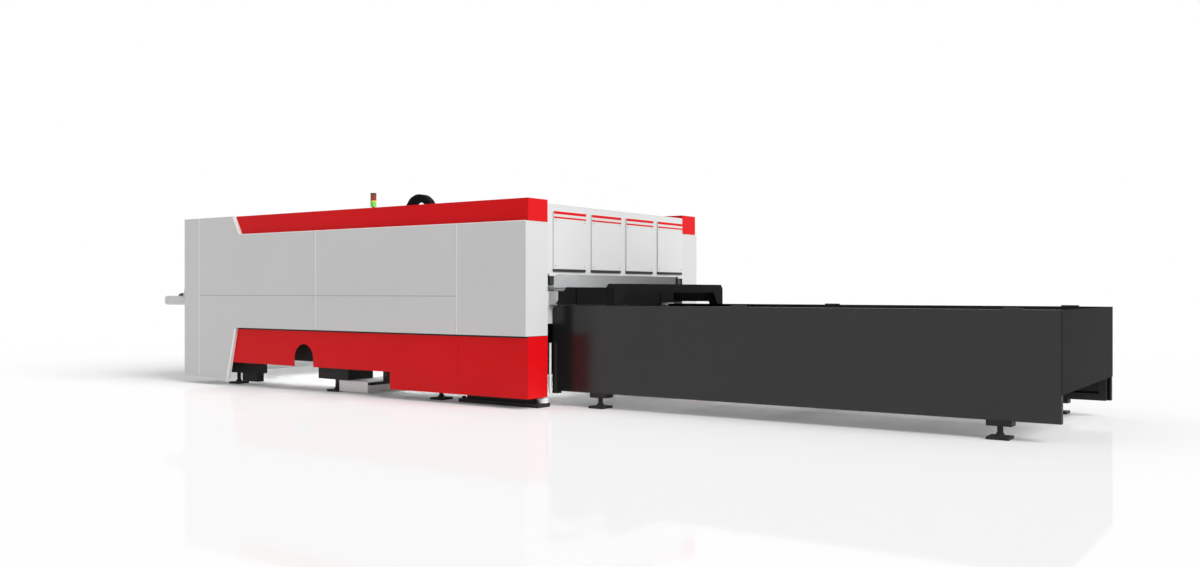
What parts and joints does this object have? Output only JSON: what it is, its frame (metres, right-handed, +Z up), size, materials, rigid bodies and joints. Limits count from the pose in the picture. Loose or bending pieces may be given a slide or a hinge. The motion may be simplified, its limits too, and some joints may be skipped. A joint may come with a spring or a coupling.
{
  "type": "laser cutting machine",
  "caption": "Enclosed sheet-metal laser cutter with grey and red cladding, a gantry cutting head inside and a long black exchange table with toothed slat pallets.",
  "frame": {"origin": "on the floor, at the middle of the machine's outer box", "axes": "+X along the machine towards the exchange table's free end, -Y the side with the lamp, +Z up"},
  "size_m": [10.455, 3.22, 2.215],
  "materials": {
    "grey_paint": "satin light grey powder coat",
    "red_paint": "satin signal red paint",
    "white_paint": "satin pale grey powder coat",
    "black_gloss": "glossy near-black paint",
    "black_paint": "satin black paint",
    "ground_steel": "ground guide rail steel",
    "slat_steel": "mill finish sheet",
    "cast_aluminium": "anodised",
    "black_plastic": "moulded black",
    "screen_glass": "dark display",
    "window_glass": "green tinted safety glass",
    "lens_green": "translucent green",
    "lens_amber": "translucent amber",
    "lens_red": "translucent red",
    "button_red": "moulded red",
    "button_green": "moulded green",
    "button_amber": "moulded amber"
  },
  "bodies": {
    "machine": {"bed_feet": "black_paint", "bed_frame": "black_paint", "bed_rails": "ground_steel", "bridge_portal": "black_gloss", "cable_chain": "black_plastic", "chamber_liners": "grey_paint", "console_tray": "grey_paint", "control_panel": "grey_paint", "drive_unit": "black_plastic", "front_caps": "grey_paint", "front_lower_panels": "grey_paint", "front_upper_panels": "grey_paint", "front_wall": "grey_paint", "gate_guides": "black_paint", "keyboard": "black_plastic", "lamp_amber": "lens_amber", "lamp_green": "lens_green", "lamp_housing": "black_plastic", "lamp_red": "lens_red", "light_baffle": "black_gloss", "middle_lower_panels": "grey_paint", "middle_upper_panels": "grey_paint", "monitor_housing": "black_plastic", "monitor_screen": "screen_glass", "mouse": "black_plastic", "opening_sensors": "black_plastic", "rail_stops": "black_gloss", "rear_covers": "white_paint", "rear_panels": "grey_paint", "rear_stripes": "red_paint", "rear_wall": "white_paint", "roof": "grey_paint", "skirts": "red_paint", "table_end_plate": "black_gloss", "table_feet": "black_paint", "table_frame": "black_paint", "table_rails": "black_paint", "table_sides": "black_gloss", "top_bands": "red_paint", "wing_frames": "black_paint"},
    "gantry": {"gantry_beam": "grey_paint", "gantry_motors": "black_plastic"},
    "carriage": {"carriage": "cast_aluminium"},
    "head": {"head_slide": "cast_aluminium", "cutting_head": "cast_aluminium"},
    "gate": {"lift_gate": "grey_paint"},
    "near_door": {"near_door_leaf": "grey_paint", "near_door_window": "window_glass", "near_door_handle": "cast_aluminium"},
    "far_door": {"far_door_leaf": "grey_paint", "far_door_window": "window_glass", "far_door_handle": "cast_aluminium"},
    "upper_pallet": {"upper_pallet_frame": "black_paint", "upper_pallet_slats": "slat_steel"},
    "lower_pallet": {"lower_pallet_frame": "black_paint", "lower_pallet_slats": "slat_steel"},
    "drawer": {"scrap_drawer": "grey_paint"},
    "stop_button": {"stop_button": "button_red"},
    "start_button": {"start_button": "button_green"},
    "hold_button": {"hold_button": "button_amber"}
  },
  "joints": [
    {"name": "gantry_travel", "type": "slide", "parent": "machine", "child": "gantry", "axis": [1, 0, 0], "range_m": [-2.4, 1.9]},
    {"name": "carriage_travel", "type": "slide", "parent": "gantry", "child": "carriage", "axis": [0, 1, 0], "range_m": [-0.8, 0.8]},
    {"name": "head_lift", "type": "slide", "parent": "carriage", "child": "head", "axis": [0, 0, 1], "range_m": [-0.2, 0.1]},
    {"name": "gate_close", "type": "slide", "parent": "machine", "child": "gate", "axis": [0, 0, -1], "range_m": [0, 0.33]},
    {"name": "near_door_slide", "type": "slide", "parent": "machine", "child": "near_door", "axis": [0, -1, 0], "range_m": [0, 0.585]},
    {"name": "far_door_slide", "type": "slide", "parent": "machine", "child": "far_door", "axis": [0, 1, 0], "range_m": [0, 0.585]},
    {"name": "upper_pallet_travel", "type": "slide", "parent": "machine", "child": "upper_pallet", "axis": [-1, 0, 0], "range_m": [0, 4.65]},
    {"name": "lower_pallet_travel", "type": "slide", "parent": "machine", "child": "lower_pallet", "axis": [-1, 0, 0], "range_m": [0, 0.45]},
    {"name": "drawer_pull", "type": "slide", "parent": "machine", "child": "drawer", "axis": [0, -1, 0], "range_m": [0, 1]},
    {"name": "stop_button_press", "type": "slide", "parent": "machine", "child": "stop_button", "axis": [0.9587, 0, -0.2845], "range_m": [0, 0.0055], "stiffness_N_per_m": 400},
    {"name": "start_button_press", "type": "slide", "parent": "machine", "child": "start_button", "axis": [0.9587, 0, -0.2845], "range_m": [0, 0.0055], "stiffness_N_per_m": 400},
    {"name": "hold_button_press", "type": "slide", "parent": "machine", "child": "hold_button", "axis": [0.9587, 0, -0.2845], "range_m": [0, 0.0055], "stiffness_N_per_m": 400}
  ]
}
